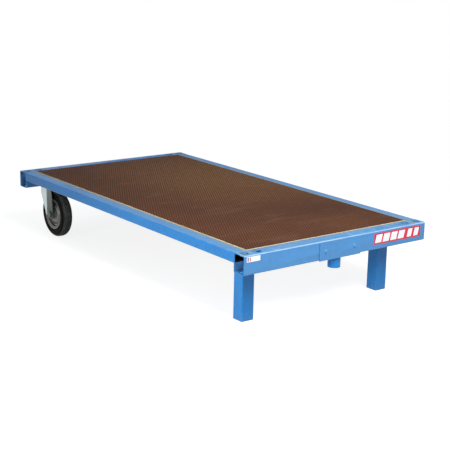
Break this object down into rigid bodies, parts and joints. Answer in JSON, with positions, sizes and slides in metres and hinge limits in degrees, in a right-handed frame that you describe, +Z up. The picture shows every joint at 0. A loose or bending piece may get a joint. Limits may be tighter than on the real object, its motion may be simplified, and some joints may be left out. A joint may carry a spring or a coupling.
{
  "type": "towable platform cart",
  "caption": "Flat plywood deck in a welded blue steel frame, with fixed castors under one end, square legs and a round tow socket under the other, and stake holes at the corners.",
  "frame": {"origin": "on the floor, under the middle of the part's box", "axes": "+X towards the tow socket, +Y to the left of a person pulling it, +Z up"},
  "size_m": [2.01, 1.05, 0.342],
  "materials": {
    "paint": "blue gloss enamel, scuffed",
    "zinc": "zinc plated pressed steel",
    "rim_steel": "grey pressed steel",
    "rubber": "black solid rubber",
    "plywood": "brown film-faced plywood with an anti-slip print",
    "bush_bronze": "plain bronze bush"
  },
  "bodies": {
    "cart": {"castor_beam": "paint", "coupling_bolt_left": "paint", "coupling_bolt_right": "paint", "coupling_nut_left": "zinc", "coupling_nut_right": "zinc", "coupling_plate": "paint", "cross_tube_1": "paint", "cross_tube_2": "paint", "cross_tube_3": "paint", "deck_panel": "plywood", "front_channel_left": "paint", "front_channel_right": "paint", "left_axle_bolt": "zinc", "left_axle_nut": "zinc", "left_castor_bolt_front_left": "zinc", "left_castor_bolt_front_right": "zinc", "left_castor_bolt_rear_left": "zinc", "left_castor_bolt_rear_right": "zinc", "left_castor_fork": "zinc", "left_castor_mount_plate": "paint", "left_castor_nut_front_left": "zinc", "left_castor_nut_front_right": "zinc", "left_castor_nut_rear_left": "zinc", "left_castor_nut_rear_right": "zinc", "left_castor_plate": "zinc", "left_foot_plate": "paint", "left_leg": "paint", "left_leg_gusset": "paint", "left_side_tube": "paint", "leg_beam": "paint", "rear_channel_left": "paint", "rear_channel_right": "paint", "right_axle_bolt": "zinc", "right_axle_nut": "zinc", "right_castor_bolt_front_left": "zinc", "right_castor_bolt_front_right": "zinc", "right_castor_bolt_rear_left": "zinc", "right_castor_bolt_rear_right": "zinc", "right_castor_fork": "zinc", "right_castor_mount_plate": "paint", "right_castor_nut_front_left": "zinc", "right_castor_nut_front_right": "zinc", "right_castor_nut_rear_left": "zinc", "right_castor_nut_rear_right": "zinc", "right_castor_plate": "zinc", "right_foot_plate": "paint", "right_leg": "paint", "right_leg_gusset": "paint", "right_side_tube": "paint", "tow_socket": "paint"},
    "left_wheel": {"left_rim_half_inner": "rim_steel", "left_rim_half_outer": "rim_steel", "left_tyre": "rubber", "left_wheel_bush": "bush_bronze", "left_wheel_hub": "rim_steel"},
    "right_wheel": {"right_rim_half_inner": "rim_steel", "right_rim_half_outer": "rim_steel", "right_tyre": "rubber", "right_wheel_bush": "bush_bronze", "right_wheel_hub": "rim_steel"}
  },
  "joints": [
    {"name": "left_wheel_spin", "type": "hinge", "parent": "cart", "child": "left_wheel", "pos_m": [-0.817, 0.402, 0.125], "axis": [0, 1, 0], "continuous": true},
    {"name": "right_wheel_spin", "type": "hinge", "parent": "cart", "child": "right_wheel", "pos_m": [-0.817, -0.402, 0.125], "axis": [0, 1, 0], "continuous": true}
  ]
}
